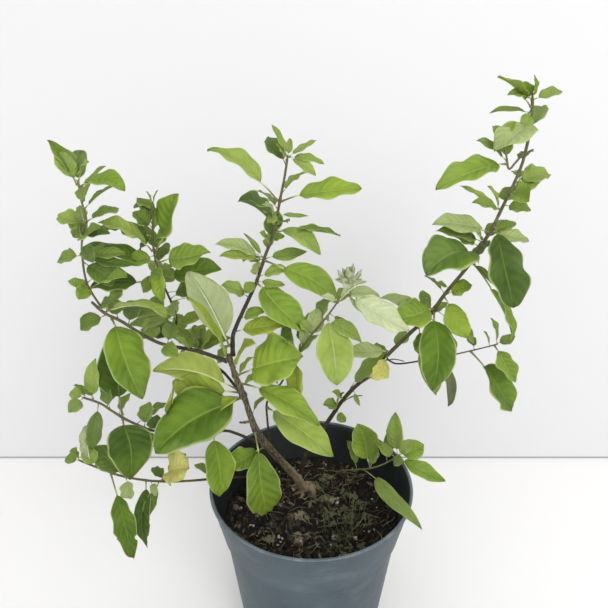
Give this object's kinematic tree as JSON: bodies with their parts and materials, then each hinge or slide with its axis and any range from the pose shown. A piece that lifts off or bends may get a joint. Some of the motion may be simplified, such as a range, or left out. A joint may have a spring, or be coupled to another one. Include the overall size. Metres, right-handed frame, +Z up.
{
  "type": "potted basil plant",
  "caption": "Basil plant with woody branching stems and broad pointed leaves, rooted in soil in a plain tapered nursery pot with a deep rim band.",
  "frame": {"origin": "centre of the pot's flat underside", "axes": "+Z up along the pot's axis, +X to the plant's right and +Y to its back, seen from the front"},
  "size_m": [0.4051, 0.2, 0.5428],
  "materials": {
    "bark": "matte",
    "green_stem": "matte",
    "leaf_bright": "satin",
    "leaf_dark": "satin",
    "leaf_fresh": "satin",
    "leaf_mid": "satin",
    "leaf_pale": "satin",
    "leaf_yellow": "satin",
    "pot_plastic": "satin",
    "potting_mix": "matte"
  },
  "bodies": {
    "root": {"centre_leaf_1": "leaf_fresh", "centre_leaf_2": "leaf_fresh", "centre_leaf_3": "leaf_dark", "centre_leaf_4": "leaf_fresh", "centre_leaf_5": "leaf_bright", "centre_leaf_6": "leaf_bright", "centre_leaf_7": "leaf_pale", "centre_stem": "bark", "edge_leaf_1": "leaf_bright", "edge_leaf_2": "leaf_bright", "edge_leaf_3": "leaf_fresh", "fork_leaf_1": "leaf_fresh", "high_leaf_1": "leaf_fresh", "high_leaf_2": "leaf_pale", "inner_leaf_1": "leaf_fresh", "inner_leaf_2": "leaf_fresh", "inner_leaf_3": "leaf_pale", "inner_shoot": "green_stem", "left_cross_branch": "bark", "left_edge_shoot": "bark", "left_high_branch": "bark", "left_low_branch": "bark", "left_mid_branch": "bark", "left_rising_shoot": "bark", "low_leaf_1": "leaf_mid", "low_leaf_2": "leaf_dark", "low_leaf_3": "leaf_yellow", "low_shoot": "green_stem", "mid_leaf_1": "leaf_mid", "mid_leaf_2": "leaf_dark", "mid_leaf_3": "leaf_fresh", "pot": "pot_plastic", "right_leaf_1": "leaf_bright", "right_leaf_2": "leaf_mid", "right_leaf_3": "leaf_dark", "right_leaf_4": "leaf_fresh", "right_leaf_5": "leaf_dark", "right_leaf_6": "leaf_pale", "right_leaf_7": "leaf_bright", "right_main_stem": "bark", "right_side_twig": "green_stem", "right_top_fork": "bark", "rising_leaf_1": "leaf_mid", "rising_leaf_2": "leaf_fresh", "rising_leaf_3": "leaf_bright", "rising_leaf_4": "leaf_mid", "rising_leaf_5": "leaf_dark", "rising_leaf_6": "leaf_dark", "shoot_leaf_1": "leaf_mid", "shoot_leaf_2": "leaf_bright", "soil": "potting_mix", "trunk": "bark", "trunk_leaf_1": "leaf_mid", "trunk_leaf_2": "leaf_fresh", "trunk_leaf_3": "leaf_mid", "trunk_leaf_4": "leaf_pale", "trunk_leaf_5": "leaf_bright", "trunk_leaf_6": "leaf_bright", "twig_leaf_1": "leaf_dark", "twig_leaf_2": "leaf_bright"}
  },
  "joints": []
}
